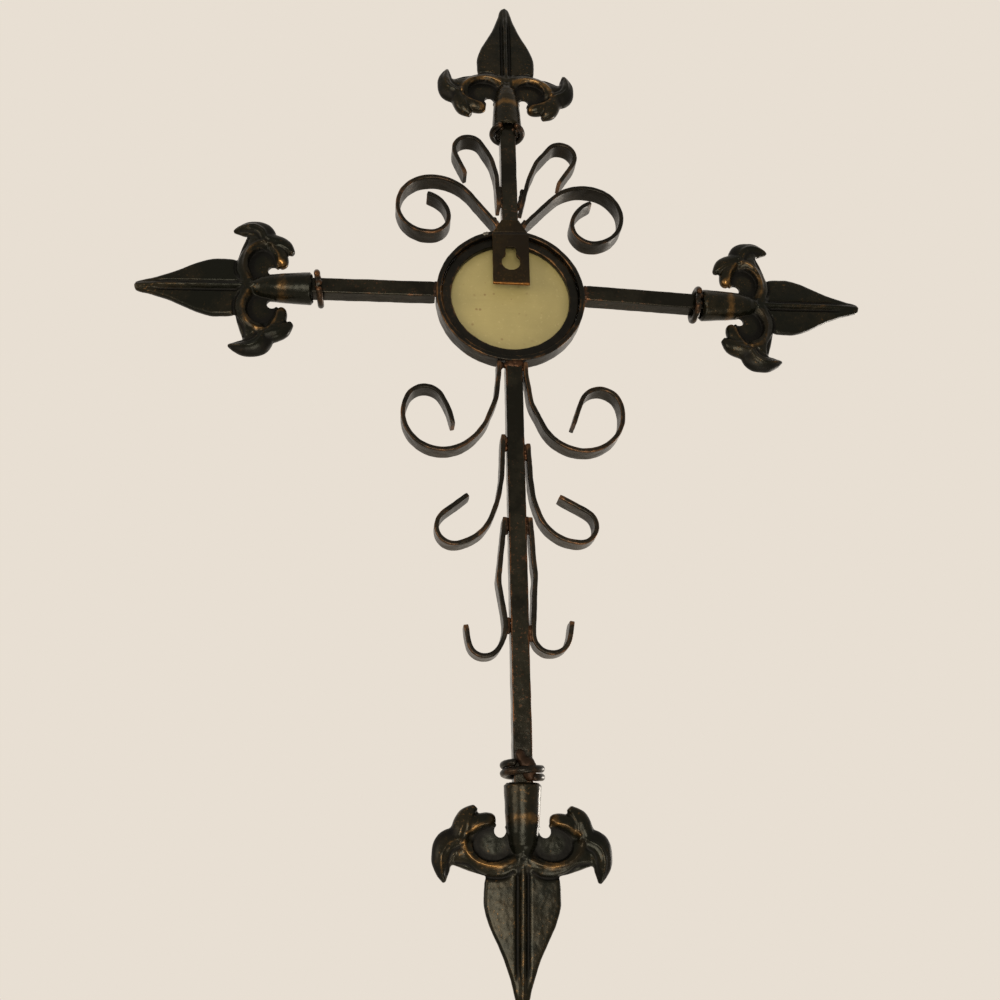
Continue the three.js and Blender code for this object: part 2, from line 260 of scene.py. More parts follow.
def end_tree(nodes, shape, finish):
    """Realizes, paints and hands out the shape."""
    shape = nodes.add("GeometryNodeSetShadeSmooth", None, {"Geometry": shape})
    real = nodes.add("GeometryNodeRealizeInstances", None, {"Geometry": shape})
    painted = nodes.add("GeometryNodeSetMaterial", None, {"Geometry": real, "Material": finish})
    nodes.add("NodeGroupOutput", None, {0: painted})


def put_through(piece, tree, keys, values):
    """Adds a geometry tree to a piece with its inputs set."""
    change = piece.modifiers.new(tree.name, "NODES")
    change.node_group = tree
    for label, value in values.items():
        change[keys[label]] = value


def hammered(nodes, shape, depth, size, seed):
    """Sinks shallow dents and finer pocks into a surface, along its normal."""
    place = nodes.add("GeometryNodeInputPosition")
    normal = nodes.add("GeometryNodeInputNormal")

    def marks(scale):
        inputs = {"Vector": place, "W": seed, "Scale": scale, "Detail": 1.0}
        return nodes.add("ShaderNodeTexNoise", {"noise_dimensions": "4D"}, inputs)

    sink = (marks(1 / size) * 1.4 + marks(4 / size) * 0.4 - 1.2) * depth
    offset = nodes.add("ShaderNodeVectorMath", {"operation": "SCALE"}, {0: normal, "Scale": sink})
    return nodes.add("GeometryNodeSetPosition", None, {"Geometry": shape, "Offset": offset})


strip_sizes = {
    "Thickness": "NodeSocketFloat",
    "Depth": "NodeSocketFloat",
    "Edge Radius": "NodeSocketFloat",
    "End Taper": "NodeSocketFloat",
    "Dents": "NodeSocketFloat",
    "Dent Size": "NodeSocketFloat",
    "Seed": "NodeSocketFloat",
    "Middle": "NodeSocketFloat",
    "Finish": "NodeSocketMaterial",
}
nodes, given, strip_keys = shape_tree("forged strip", strip_sizes)
section = {"Width": given["Thickness"], "Height": given["Depth"]}
section = nodes.add("GeometryNodeCurvePrimitiveQuadrilateral", None, section)
section = {"Curve": section, "Radius": given["Edge Radius"], "Count": 3}
section = nodes.add("GeometryNodeFilletCurve", {"mode": "POLY"}, section)
section = nodes.add("GeometryNodeResampleCurve", {"mode": "LENGTH"}, {"Curve": section, "Length": 0.5 * mm})
line = nodes.add("GeometryNodeMeshToCurve", None, {"Mesh": given["Shape"]})
line = nodes.add("GeometryNodeCurveSplineType", {"spline_type": "CATMULL_ROM"}, {"Curve": line})
line = nodes.add("GeometryNodeResampleCurve", {"mode": "LENGTH"}, {"Curve": line, "Length": 1.0 * mm})
line = nodes.add("GeometryNodeSetCurveNormal", {"mode": "Z_UP"}, {"Curve": line})
gone = nodes.add("GeometryNodeSplineParameter", None, None, output=1)
whole = nodes.add("GeometryNodeSplineLength")
from_end = (gone.least(whole - gone) / (1.4 * mm)).held()
width = 1.0 - (1.0 - from_end) * given["End Taper"]
swept = {"Curve": line, "Profile Curve": section, "Scale": width, "Fill Caps": True}
swept = nodes.add("GeometryNodeCurveToMesh", None, swept)
swept = hammered(nodes, swept, given["Dents"], given["Dent Size"], given["Seed"])
middle = nodes.add("ShaderNodeCombineXYZ", None, {"Y": given["Middle"]})
upright = {"Geometry": swept, "Rotation": (math.pi / 2, 0, 0), "Translation": middle}
upright = nodes.add("GeometryNodeTransform", None, upright)
end_tree(nodes, upright, given["Finish"])
strip_tree = nodes.tree


def forge_strip(name, line, thickness, depth, finish, closed=False, taper=0.1, **sizes):
    """Sweeps a flat or square bar along a line in X and Z and puts it in place of its solid."""
    low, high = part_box(name)
    count = len(line)
    edges = [(i, (i + 1) % count) for i in range(count if closed else count - 1)]
    piece = new_piece(name, [(x, z, 0) for x, z in line], edges)
    values = {
        "Thickness": float(thickness),
        "Depth": float(depth),
        "Edge Radius": 0.6 * mm,
        "End Taper": 0.0 if closed else taper,
        "Dents": 0.35 * mm,
        "Dent Size": 5 * mm,
        "Seed": float(sum(name.encode()) % 97),
        "Middle": float((low.y + high.y) / 2),
        "Finish": finish,
    }
    values.update(sizes)
    put_through(piece, strip_tree, strip_keys, values)
    settle(piece)
    mark_stand(piece)
    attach(piece, "root")
    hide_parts(name)
    return piece


ring_finish = iron_finish("ring iron", tone(15, 14, 10), tone(28, 25, 19), tone(118, 84, 50), seed=3.0)
ring_low, ring_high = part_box("ring")
centre = (ring_low + ring_high) / 2


def hoop(name, grown):
    """The middle line of a round solid about the ring's centre, and its wall and depth, with the
    outside grown a little so that it meets what it is tacked to."""
    points = node_points(name)
    reach = np.hypot(points[:, 0] - centre.x, points[:, 2] - centre.z)
    wall = reach.max() + grown - reach.min()
    middle = reach.min() + wall / 2
    turns = [2 * math.pi * i / 96 for i in range(96)]
    line = [(centre.x + middle * math.cos(t), centre.z + middle * math.sin(t)) for t in turns]
    return line, wall, points[:, 1].max() - points[:, 1].min()


# How far the retaining ring and the mirror bed into what holds them.
tacked = 0.35 * mm
for name, grown in (("ring", 0.0), ("retaining_ring", tacked)):
    line, wall, deep = hoop(name, grown)
    forge_strip(name, line, wall, deep, ring_finish, closed=True)


# Mirror
# A round glass mirror, bevelled on the room side. Its back is painted khaki, with stains,
# scuffs and dust, and has gone dark round the rim.

mirror_low, mirror_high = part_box("mirror")


def painted_back():
    material, nodes, spot = new_finish("painted mirror back")
    cloud = nodes.add("ShaderNodeTexNoise", None, {"Vector": spot, "Scale": 45.0, "Detail": 4.0})
    fine = nodes.add("ShaderNodeTexNoise", None, {"Vector": spot, "Scale": 600.0, "Detail": 4.0})
    spots = nodes.add("ShaderNodeTexVoronoi", None, {"Vector": spot, "Scale": 190.0, "Randomness": 1.0})
    streaks = nodes.add("ShaderNodeMapping", None, {"Vector": spot, "Scale": (60.0, 60.0, 900.0)})
    streaks = nodes.add("ShaderNodeTexNoise", None, {"Vector": streaks, "Scale": 1.0, "Detail": 3.0})
    rim = nodes.add("ShaderNodeAttribute", {"attribute_name": "rim"}, output=2)
    colour = nodes.blend(((cloud - 0.4) * 3.0).held(), tone(112, 104, 64), tone(125, 116, 73))
    colour = nodes.blend(((streaks - 0.5) * 2.2).held() * 0.35, colour, tone(112, 101, 60))
    colour = nodes.blend(((fine - 0.6) * 6.0).held() * 0.35, colour, tone(160, 149, 108))
    stain = ((0.16 - spots) * 14.0).held() * ((cloud - 0.5) * 6.0).held()
    colour = nodes.blend(stain * 0.7, colour, tone(92, 70, 38))
    colour = nodes.blend((rim * 1.2 + (cloud - 0.5) * 0.8 - 0.35).held() * 0.8, colour, tone(58, 45, 26))
    height = fine * 0.3 + streaks * 0.4
    bump = nodes.add("ShaderNodeBump", None, {"Strength": 0.35, "Distance": 0.2 * mm, "Height": height})
    rough = (0.5 + (fine - 0.5) * 0.3 + stain * 0.2).held()
    inputs = {"Base Color": colour, "Roughness": rough, "Normal": bump}
    end_finish(nodes, inputs)
    return material


def silvering():
    material, nodes, spot = new_finish("mirror glass")
    haze = nodes.add("ShaderNodeTexNoise", None, {"Vector": spot, "Scale": 180.0, "Detail": 5.0})
    foxing = nodes.add("ShaderNodeTexNoise", None, {"Vector": spot, "Scale": 55.0, "Detail": 6.0})
    spoiled = ((foxing - 0.68) * 9.0).held()
    colour = nodes.blend(spoiled * 0.5, tone(214, 218, 214), tone(120, 112, 92))
    rough = (0.03 + spoiled * 0.25 + (haze - 0.5) * 0.04).held()
    bump = nodes.add("ShaderNodeBump", None, {"Strength": 0.05, "Distance": 0.05 * mm, "Height": haze})
    inputs = {"Base Color": colour, "Roughness": rough, "Metallic": 1.0, "Normal": bump}
    end_finish(nodes, inputs)
    return material


def turned(profile, sides):
    """The points and faces of a profile of [radius, along] turned about its axis, as X, Y across
    and Z along. A radius of nothing becomes a pole."""
    points = []
    rows = []
    for radius, along in profile:
        if radius == 0:
            rows.append([len(points)] * sides)
            points.append((0.0, 0.0, along))
        else:
            rows.append(list(range(len(points), len(points) + sides)))
            turns = [2 * math.pi * i / sides for i in range(sides)]
            points += [(radius * math.cos(t), radius * math.sin(t), along) for t in turns]
    faces = []
    for low, high in zip(rows, rows[1:]):
        for i in range(sides):
            corners = [low[i], low[(i + 1) % sides], high[(i + 1) % sides], high[i]]
            faces.append(list(dict.fromkeys(corners)))
    return points, faces


mirror_radius = (mirror_high.x - mirror_low.x) / 2 + tacked / 2
back, front = mirror_low.y, mirror_high.y
arris = 0.5 * mm
bevel = {"across": 5 * mm, "deep": 0.9 * mm}
steps = [mirror_radius * i / 12 for i in range(12)]
profile = [(r, back) for r in steps]
profile += [(mirror_radius - arris, back), (mirror_radius, back + arris)]
profile += [(mirror_radius, front - bevel["deep"]), (mirror_radius - bevel["across"], front)]
profile += [(r, front) for r in steps[:10:3][::-1]]
points, faces = turned(profile, 96)
points = [(centre.x + x, along, centre.z + y) for x, y, along in points]
mirror = new_piece("mirror", points, (), faces)
settle(mirror)
mirror.data.materials.append(painted_back())
mirror.data.materials.append(silvering())
for face in mirror.data.polygons:
    face.material_index = 0 if face.normal.y < -0.3 else 1
    face.use_smooth = abs(face.normal.y) < 0.3
spots = mesh_points(mirror.data)
reach = np.hypot(spots[:, 0] - centre.x, spots[:, 2] - centre.z) / mirror_radius
write_mask(mirror, "rim", np.clip((reach - 0.8) / 0.2, 0, 1))
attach(mirror, "root")
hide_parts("mirror")


# Hanger plate
# Sheet iron cut with a keyhole and two clipped corners, welded over the top of the ring. It
# has a fold mark near its top and is rubbed to copper along its lower edge.


def packed_shell(name):
    """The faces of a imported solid, in metres, with its doubled corners joined."""
    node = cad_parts[name]
    shell = bmesh.new()
    shell.from_mesh(node.data)
    shell.transform(node.matrix_world)
    bmesh.ops.remove_doubles(shell, verts=shell.verts, dist=1e-6)
    return shell


def forge_copy(name, voxel, rounds):
    """A fine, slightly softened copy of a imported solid, for the hammered pieces."""
    piece = new_piece(name, [])
    shell = packed_shell(name)
    bmesh.ops.recalc_face_normals(shell, faces=shell.faces)
    shell.to_mesh(piece.data)
    shell.free()
    refine(piece, voxel, rounds)
    return piece


def refine(piece, voxel, rounds):
    """Covers a piece with an even fine mesh and eases its edges."""
    even = piece.modifiers.new("even", "REMESH")
    even.mode = "VOXEL"
    even.voxel_size = voxel
    ease = piece.modifiers.new("ease", "SMOOTH")
    ease.iterations = rounds
    ease.factor = 0.5
    settle(piece)


skin_sizes = {
    "Dents": "NodeSocketFloat",
    "Dent Size": "NodeSocketFloat",
    "Seed": "NodeSocketFloat",
    "Finish": "NodeSocketMaterial",
}
nodes, given, skin_keys = shape_tree("hammered skin", skin_sizes)
skin = hammered(nodes, given["Shape"], given["Dents"], given["Dent Size"], given["Seed"])
end_tree(nodes, skin, given["Finish"])
skin_tree = nodes.tree


def hammer(piece, depth, size, seed, finish):
    values = {"Dents": depth, "Dent Size": size, "Seed": seed, "Finish": finish}
    put_through(piece, skin_tree, skin_keys, values)
    settle(piece)
    mark_stand(piece)


plate_finish = iron_finish(
    "plate iron", tone(23, 17, 8), tone(37, 29, 13), tone(132, 88, 44), rub=0.9, seed=11.0
)
plate = forge_copy("hanger_plate", 0.32 * mm, 3)
spots = mesh_points(plate.data)
plate_low, plate_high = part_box("hanger_plate")
fold = {"down": 7.6 * mm, "half": 0.7 * mm, "deep": 0.4 * mm, "slope": 0.05}
across = (spots[:, 2] - plate_high.z + fold["down"] - fold["slope"] * spots[:, 0]) / fold["half"]
wall_side = spots[:, 1] < (plate_low.y + plate_high.y) / 2
spots[:, 1] += np.where(wall_side, fold["deep"] * np.exp(-across * across), 0)
plate.data.vertices.foreach_set("co", spots.ravel())
hammer(plate, 0.25 * mm, 5 * mm, 4.0, plate_finish)
spots = mesh_points(plate.data)
rubbed_edge = 1.5 * mm
rubbed_and_glint = 0.9 * np.clip(1 - (spots[:, 2] - plate_low.z) / rubbed_edge, 0, 1)
write_mask(plate, "rubbed_and_glint", rubbed_and_glint)
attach(plate, "root")
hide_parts("hanger_plate")


# Bars
# Four lengths of square iron bar: the upright above and below the ring and the two arms. Each
# runs from the ring into a finial's socket, a little out of true, with hammered faces.

bar_finish = iron_finish(
    "bar iron", tone(16, 15, 9), tone(33, 31, 23), tone(126, 82, 52), rub=0.8, shine=0.23, seed=5.0
)
outward = {"top": (0, 1), "right": (1, 0), "bottom": (0, -1), "left": (-1, 0)}


def bar_line(side):
    """The two ends of a bar's middle line in X and Z, from the ring outwards."""
    points = np.unique(node_points(f"bar_{side}")[:, [0, 2]].round(6), axis=0)
    middle = points.mean(axis=0)
    far = (points - middle) @ np.array(outward[side])
    return points[far < 0].mean(axis=0), points[far > 0].mean(axis=0)


for side in outward:
    start, end = bar_line(side)
    low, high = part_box(f"bar_{side}")
    square = high.y - low.y
    line = [start + (end - start) * i / 8 for i in range(9)]
    bar = forge_strip(f"bar_{side}", line, square, square, bar_finish, taper=0.06, **{"Dent Size": 8 * mm})


# Scrolls
# Ten lengths of flat strip bent edge-on and welded to the upright by their feet. Each follows
# the middle of its solid, with the edges eased and the blunt end drawn in by the hammer.

scroll_finish = iron_finish("scroll iron", tone(18, 16, 11), tone(33, 29, 21), tone(116, 82, 54), seed=7.0)
bend_ease = 2.2 * mm


def strip_middle(name):
    """The middle line of a bent strip in X and Z, and its thickness, from its wall-side outline."""
    shell = packed_shell(name)
    wall = min(v.co.y for v in shell.verts)
    beside = {}
    for edge in shell.edges:
        a, b = edge.verts
        flat = [abs(face.normal.y) > 0.9 for face in edge.link_faces]
        if max(a.co.y, b.co.y) < wall + 1e-5 and sorted(flat) == [False, True]:
            beside.setdefault(a, []).append(b)
            beside.setdefault(b, []).append(a)
    start = next(iter(beside))
    loop = [start]
    before = None
    while len(loop) < len(beside):
        step = [v for v in beside[loop[-1]] if v is not before and v is not start][0]
        before = loop[-1]
        loop.append(step)
    outline = np.array([(v.co.x, v.co.z) for v in loop])
    shell.free()
    half = len(outline) // 2
    best = None
    for shift in range(len(outline)):
        turned_loop = np.roll(outline, -shift, axis=0)
        one, other = turned_loop[:half], turned_loop[half:][::-1]
        widths = np.hypot(*(one - other).T)
        if best is None or widths.std() < best[0]:
            best = (widths.std(), (one + other) / 2, widths.mean())
    return eased(best[1], 0.5 * mm, bend_ease), best[2]


def eased(line, step, reach):
    """The line drawn through again in short steps, its corners rounded and its size kept."""
    lengths = np.concatenate([[0], np.cumsum(np.hypot(*np.diff(line, axis=0).T))])
    at = np.linspace(0, lengths[-1], int(lengths[-1] / step) + 1)
    run = np.stack([np.interp(at, lengths, line[:, axis]) for axis in range(2)], axis=1)
    pad = int(3 * reach / step)
    weights = np.exp(-0.5 * (np.arange(-pad, pad + 1) * step / reach) ** 2)
    weights /= weights.sum()

    def soft(values):
        before = 2 * values[0] - values[pad:0:-1]
        after = 2 * values[-1] - values[-2 : -pad - 2 : -1]
        longer = np.concatenate([before, values, after])
        return np.stack([np.convolve(longer[:, axis], weights, "valid") for axis in range(2)], axis=1)

    once = soft(run)
    return once + once - soft(once)


scroll_lines = {}
for name in sorted(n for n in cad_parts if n.startswith("scroll_")):
    line, thickness = strip_middle(name)
    if abs(line[0][0] - centre.x) > abs(line[-1][0] - centre.x):
        line = line[::-1]
    scroll_lines[name] = line
    low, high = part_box(name)
    scroll = forge_strip(name, line, thickness, high.y - low.y, scroll_finish)


# Finials
# Four iron castings of one pattern: a spear blade with a raised rib between two grooves, two
# side leaves curled round sunk eyes, and a round socket that takes the end of the bar.

casting = {"rub": 0.45, "shine": 0.27, "fleck": 0.7, "seed": 9.0, "grainy": 0.5}
finial_finish = iron_finish("finial iron", tone(14, 15, 9), tone(31, 27, 17), tone(124, 92, 50), **casting)
socket_bore = 6.64 * mm
socket_depth = 11.3 * mm

# The blade's half widths by their height above the socket's mouth, and the leaves' limbs as
# rows of place out, place up, half width and half depth, all in millimetres.
blade_half_widths = [(33, 12.8), (36, 14.6), (39, 15.6), (44, 15.9), (49, 15.7), (56, 13.4), (63, 9.9)]
blade_half_widths += [(70, 6.7), (77, 4.3), (82, 3.1), (84.3, 2.2), (85, 0.9)]
eye = {"out": 12.4 * mm, "along": 24.6 * mm, "half_width": 8.8 * mm, "half_length": 6.9 * mm}
web_half = 1.3 * mm
leaf_limbs = [
    [(-2, 31, 4.4, 4.2), (8, 33.4, 4.5, 4.2), (17, 31.6, 4.8, 4.1), (26, 27, 6.6, 4.2)],
    [
        (23, 25, 6.4, 3.6),
        (30, 25.4, 6.8, 4.6),
        (33, 30.6, 4.8, 4.4),
        (32.8, 35.6, 2.9, 3),
        (32, 39.6, 0.7, 1),
    ],
    [(28, 25, 4, 3.8), (26, 19.5, 4.2, 4.6), (23.6, 14, 3.9, 4), (19.6, 9.8, 1.5, 1.8)],
    [(24, 19, 4, 3.4), (18.4, 16, 3.6, 3.8), (13.6, 15, 3, 3.2), (11.2, 14.8, 1.4, 1.6)],
]


def through(stations, count):
    """Points along the smooth curve that passes through the stations."""
    given = np.array(stations, dtype=float)
    given = np.vstack([2 * given[0] - given[1], given, 2 * given[-1] - given[-2]])
    at = np.linspace(0, len(stations) - 1, count)
    first = np.minimum(at.astype(int), len(stations) - 2)
    t = (at - first)[:, None]
    a, b, c, d = (given[first + i] for i in range(4))
    return 0.5 * (2 * b + (c - a) * t + (2 * a - 5 * b + 4 * c - d) * t**2 + (3 * b - a - 3 * c + d) * t**3)


def limb(stations, count=40, sides=28):
    """A swelling, tapering limb with a soft ridge down the middle of each face."""
    run = through(stations, count) * mm
    along = np.gradient(run[:, :2], axis=0)
    along /= np.hypot(*along.T)[:, None]
    points = []
    for (x, z, half_width, half_depth), (ax, az) in zip(run, along):
        for j in range(sides):
            turn = 2 * math.pi * (j + 0.5) / sides
            c = math.cos(turn)
            deep = math.copysign(half_depth, math.sin(turn))
            deep *= 0.35 * (1 - abs(c)) + 0.65 * math.sqrt(1 - c**4)
            points.append((x - az * c * half_width, deep, z + ax * c * half_width))
    faces = []
    for i in range(count - 1):
        for j in range(sides):
            k = (j + 1) % sides
            faces.append((i * sides + j, i * sides + k, (i + 1) * sides + k, (i + 1) * sides + j))
    faces.append(tuple(range(sides)))
    faces.append(tuple(range((count - 1) * sides, count * sides)))
    return points, faces


def join_shapes(name, shapes):
    """One piece made of several closed shapes that pass through one another."""
    points, faces = [], []
    for some_points, some_faces in shapes:
        base = len(points)
        points += [tuple(p) for p in some_points]
        faces += [tuple(i + base for i in face) for face in some_faces]
    return new_piece(name, points, (), faces)


def slab(outline, half):
    """A flat outline in X and Z, given thickness both ways along Y."""
    count = len(outline)
    points = [(x, y, z) for y in (-half, half) for x, z in outline]
    faces = [tuple(range(count)), tuple(range(count, 2 * count))]
    faces += [(i, (i + 1) % count, count + (i + 1) % count, count + i) for i in range(count)]
    return points, faces


def ellipse(out, along, half_width, half_length, count=48):
    turns = [2 * math.pi * i / count for i in range(count)]
    return [(out + half_width * math.cos(t), along + half_length * math.sin(t)) for t in turns]


# The blade's relief in millimetres: the fields' half thickness and how it falls to their edge,
# the raised rib, and the groove beside it, which fades out below the tip.
field = {"half": 2.2, "edge": 1.5, "edge_fall": 1.0, "fall": 0.3}
rib = {"half": 1.6, "height": 4.0, "fall": 0.012, "foot": 31}
groove = {"deep": 1.25, "half": 0.6, "fade_from": 70, "fade_to": 76}


def blade():
    """The blade, with a raised rib and, past a groove each side of it, a cushioned field."""
    columns, rows = 57, 110
    widths = through(blade_half_widths, rows)
    fading = groove["fade_to"] - groove["fade_from"]
    points = []
    for side in (-1, 1):
        for z, half_width in widths:
            rib_half = min(rib["half"], 0.55 * half_width)
            fade = min(1.0, max(0.0, (groove["fade_to"] - z) / fading))
            for u in np.linspace(-1, 1, columns):
                x = abs(u) * half_width
                edge = min(1.0, max(0.0, (x - half_width + field["edge"]) / field["edge"]))
                deep = field["half"] - field["edge_fall"] * edge**2 - field["fall"] * (x / half_width) ** 2
                deep *= 0.55 + 0.45 * min(1.0, half_width / 5)
                in_groove = (x - rib_half) / groove["half"] - 1
                deep -= groove["deep"] * fade * math.exp(-(in_groove**2))
                if x < rib_half:
                    rise = rib["height"] - rib["fall"] * (z - rib["foot"])
                    rise *= min(1.0, 0.35 + half_width / 8)
                    deep = max(deep, rise * (1 - (x / rib_half) ** 2) ** 0.4)
                points.append((u * half_width * mm, side * max(deep, 0.5) * mm, z * mm))
    layer = rows * columns
    faces = []
    for i in range(rows - 1):
        for j in range(columns - 1):
            k = i * columns + j
            faces.append((k, k + 1, k + columns + 1, k + columns))
            faces.append((layer + k, layer + k + 1, layer + k + columns + 1, layer + k + columns))
        for k in (i * columns, (i + 1) * columns - 1):
            faces.append((k, k + columns, layer + k + columns, layer + k))
    for j in range(columns - 1):
        for k in (j, (rows - 1) * columns + j):
            faces.append((k, k + 1, layer + k + 1, layer + k))
    return points, faces


# The socket and stem from the rounded lip up: radius and height in millimetres.
lip = 1.2
stem_profile = [(8.1, lip), (7.9, 5), (7.7, 8), (7.3, 14), (6.8, 20), (5.7, 25), (3.9, 29), (2.2, 35)]
stem_radii, stem_heights = zip(*stem_profile)


def stem():
    """The socket and the stem above it, bored to take the bar."""
    bore = socket_bore / mm
    profile = [(0, socket_depth / mm), (bore, socket_depth / mm), (bore, 0)]
    profile += [(stem_radii[0] - lip, 0)] + stem_profile + [(0, stem_heights[-1])]
    return turned([(r * mm, z * mm) for r, z in profile], 64)


web = slab(ellipse(eye["out"], eye["along"], eye["half_width"] + mm, eye["half_length"] + mm), web_half)
leaf = join_shapes("leaf", [limb(s) for s in leaf_limbs] + [web])
finial_step = 0.4 * mm
refine(leaf, finial_step, 1)

# The notch cut between each leaf's inner lobe and the stem, a round end on a narrow neck.
notch = {"out": 9.4 * mm, "along": 19.4 * mm, "radius": 2.5 * mm}
neck_half = notch["radius"] * 0.6
neck_low = 8 * mm
outline = [(notch["out"] + neck_half, neck_low)]
for i in range(17):
    turn = math.radians(-54 + 288 * i / 16)
    x = notch["out"] + notch["radius"] * math.cos(turn)
    z = notch["along"] + notch["radius"] * math.sin(turn)
    outline.append((x, z))
outline.append((notch["out"] - neck_half, neck_low))
cutter = join_shapes("notch", [slab(outline, 12 * mm)])
settle(cutter)
cut = leaf.modifiers.new("notch", "BOOLEAN")
cut.object = cutter
cut.solver = "EXACT"
settle(leaf)
bpy.data.objects.remove(cutter)
leaf_points = mesh_points(leaf.data)
leaf_faces = [tuple(f.vertices) for f in leaf.data.polygons]
mirrored = (leaf_points * (-1, 1, 1), [f[::-1] for f in leaf_faces])
finial = join_shapes("finial", [(leaf_points, leaf_faces), mirrored, blade(), stem()])
bpy.data.objects.remove(leaf)
refine(finial, finial_step, 1)

# Ridges and grooves chased along each leaf: the line followed, half width and height.
crest_line = [(0, 28.5), (5, 31.2), (10, 32.8), (15, 32.6), (20, 30.8), (23.5, 27), (24.4, 23.5)]
under_crest = [(4.2, 35.4), (8, 37.4), (13, 37.6), (18, 35.8), (23, 32.6), (27.6, 32)]
hook_line = [(26.4, 22.6), (30.6, 24.2), (33.4, 28), (33.7, 32.6), (32.5, 38)]
inside_hook = [(26.6, 26), (29.2, 27.6), (30.6, 31), (31.2, 36)]
outer_lobe = [(24.8, 24), (23, 19.6), (22.4, 15.5), (20.6, 12)]
inner_lobe = [(23.4, 20.6), (18.6, 17.4), (14, 16.2)]
chasing = [
    (crest_line, 0.9, 0.75),
    (under_crest, 0.7, -0.75),
    (hook_line, 0.8, 0.6),
    (outer_lobe, 0.8, 0.5),
    (inner_lobe, 0.7, 0.4),
    (inside_hook, 0.8, -0.6),
]


def from_line(line, x, z):
    """How far each place is from a smooth line."""
    run = through(line, 40)
    nearest = np.full(len(x), 1e9)
    for (ax, az), (bx, bz) in zip(run, run[1:]):
        t = np.clip(((x - ax) * (bx - ax) + (z - az) * (bz - az)) / ((bx - ax) ** 2 + (bz - az) ** 2), 0, 1)
        nearest = np.minimum(nearest, np.hypot(x - ax - t * (bx - ax), z - az - t * (bz - az)))
    return nearest


def rise_between(values, low, high):
    """0 below the low value, 1 above the high one, and a smooth rise between them."""
    t = np.clip((values - low) / (high - low), 0, 1)
    return t * t * (3 - 2 * t)


def within_eye(x, z):
    """0 at the middle of the sunk eye and 1 on its rim."""
    across = (x * mm - eye["out"]) / eye["half_width"]
    up = (z * mm - eye["along"]) / eye["half_length"]
    return across**2 + up**2


def bump_at(distance, half):
    """1 on a line, fading out over the half width beside it."""
    return np.exp(-((distance / half) ** 2))


spots = mesh_points(finial.data)
normals = mesh_normals(finial.data)
side = np.sign(spots[:, 1])
x, z = np.abs(spots[:, 0]) / mm, spots[:, 2] / mm
deep = np.abs(spots[:, 1]) / mm
facing = rise_between(np.abs(normals[:, 1]), 0.15, 0.6)
for line, half, height in chasing:
    deep += height * facing * bump_at(from_line(line, x, z), half)
stem_reach = np.interp(z, stem_heights, stem_radii)
over_stem = np.sqrt(np.clip(stem_reach**2 - x**2, 0, None))
eye_floor = web_half / mm - 0.25 + 7 * rise_between(within_eye(x, z), 0.86, 1.08)
deep = np.where(z > 12, np.minimum(deep, np.maximum(eye_floor, over_stem)), deep)
spots[:, 1] = side * deep * mm
finial.data.vertices.foreach_set("co", spots.ravel())
hammer(finial, 0.28 * mm, 4.5 * mm, 21.0, finial_finish)

# Where hands rubbed it: a band round the socket, the crests and the inner lobes' tips.
# On the crests and the lobe tips the bright colour is also a painted highlight.
spots = mesh_points(finial.data)
x, z = np.abs(spots[:, 0]) / mm, spots[:, 2] / mm
band = {"height": 14.5, "half": 2.2, "top": 20, "out": 8.4}
lobe_tip = {"out": 12.6, "height": 14.4, "half": 2.2}
rubbed_and_glint = np.where((x < band["out"]) & (z < band["top"]), 0.7 * bump_at(z - band["height"], band["half"]), 0)
# The crests and the lobe tips: rubbed copper and a painted highlight.
rubbed_and_glint += 0.5 * bump_at(from_line(crest_line, x, z), 1.5) * (x > 3)
rubbed_and_glint += 0.9 * bump_at(np.hypot(x - lobe_tip["out"], z - lobe_tip["height"]), lobe_tip["half"])
rubbed_and_glint += 0.6 * bump_at(from_line(inner_lobe, x, z), 0.9)

# Painted shade: a painted shadow in the eyes, most of all at their outer ends and rims, and painted
# shade in the grooves beside the rib and in the chased grooves; darker too along the blade's edges and on the
# outside of the hooks.
inside = within_eye(x, z)
past_stem = rise_between(x - np.interp(z, stem_heights, stem_radii), 0, 0.6)
# The eyes' painted shadow is heaviest towards their outer, upper ends.
outer_end = (x - eye["out"] / mm) * 0.08 + (z - eye["along"] / mm) * 0.1
in_eye = rise_between(inside, 0.12, 0.55) * (1 - rise_between(inside, 1.0, 1.12))
at_rim = rise_between(inside, 0.6, 0.82) * (1 - rise_between(inside, 1.0, 1.1))
painted_shade = ((0.8 + np.clip(outer_end + 0.1, 0, 0.9)) * in_eye + 0.9 * at_rim) * past_stem
beside_rib = rib["half"] + groove["half"] + 0.1
painted_shade += bump_at(x - beside_rib, groove["half"]) * rise_between(z, 32, 34) * (1 - rise_between(z, 70, 77))
edge_heights, edge_halves = zip(*blade_half_widths)
from_edge = np.interp(z, edge_heights, edge_halves) - x
at_edge = 1 - rise_between(from_edge, 0.2, 1.8)
painted_shade += 0.6 * at_edge * rise_between(z, 38, 40) * (1 - rise_between(z, 74, 80))
hook_back = [(29.5, 20), (34.6, 21.6), (37.4, 27), (36.8, 32.6), (34, 38)]
# Darker along the outside of the hooks.
painted_shade += 1.1 * bump_at(from_line(hook_back, x, z), 2.3)
for line, half, height in chasing:
    if height < 0:
        painted_shade += 0.9 * bump_at(from_line(line, x, z), half)
write_mask(finial, "rubbed_and_glint", rubbed_and_glint)
write_mask(finial, "painted_shade", np.clip(painted_shade, 0, 1))


